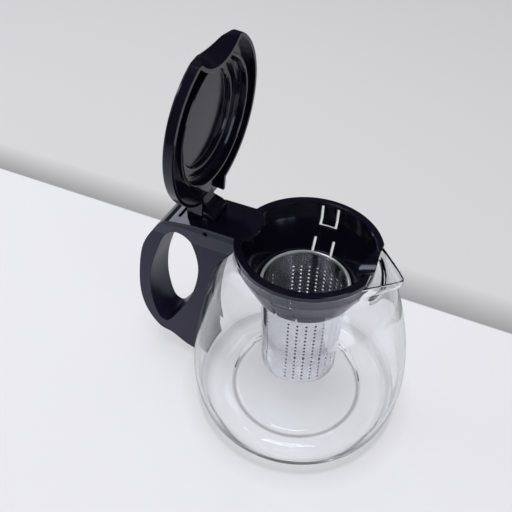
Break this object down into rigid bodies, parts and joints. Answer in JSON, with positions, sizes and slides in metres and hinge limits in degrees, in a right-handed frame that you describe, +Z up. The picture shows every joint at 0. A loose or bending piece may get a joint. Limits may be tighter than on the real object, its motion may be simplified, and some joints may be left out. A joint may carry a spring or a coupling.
{
  "type": "glass teapot",
  "caption": "Glass teapot with a pointed spout, a hinged plastic lid, a looped handle and a lift-out perforated steel infuser in a plastic collar.",
  "frame": {"origin": "on the pot's axis, in the plane it stands on", "axes": "+Z up along the pot's axis; +X towards the spout; -X towards the handle; +Y to the left of someone who stands behind the handle and looks along +X"},
  "size_m": [0.1757, 0.1332, 0.2228],
  "materials": {
    "glass": "clear",
    "gloss_black": "gloss",
    "satin_black": "satin",
    "screw_steel": "satin",
    "infuser_steel": "polished"
  },
  "bodies": {
    "pot": {"glass_body": "glass", "collar": "gloss_black", "bridge": "gloss_black", "handle_left": "satin_black", "handle_right": "satin_black", "handle_screws": "screw_steel", "side_screws": "screw_steel", "hinge_pin": "screw_steel"},
    "lid": {"lid_cover": "gloss_black", "lid_liner": "gloss_black"},
    "infuser": {"infuser_rim": "infuser_steel", "infuser_tube": "infuser_steel", "infuser_base": "infuser_steel"}
  },
  "joints": [
    {"name": "lid_hinge", "type": "hinge", "parent": "pot", "child": "lid", "pos_m": [-0.058, 0, 0.127], "axis": [0, 1, 0], "range_deg": [0, 84.5]},
    {"name": "infuser_lift", "type": "slide", "parent": "pot", "child": "infuser", "axis": [0, 0, 1], "range_m": [0, 0.115]}
  ]
}
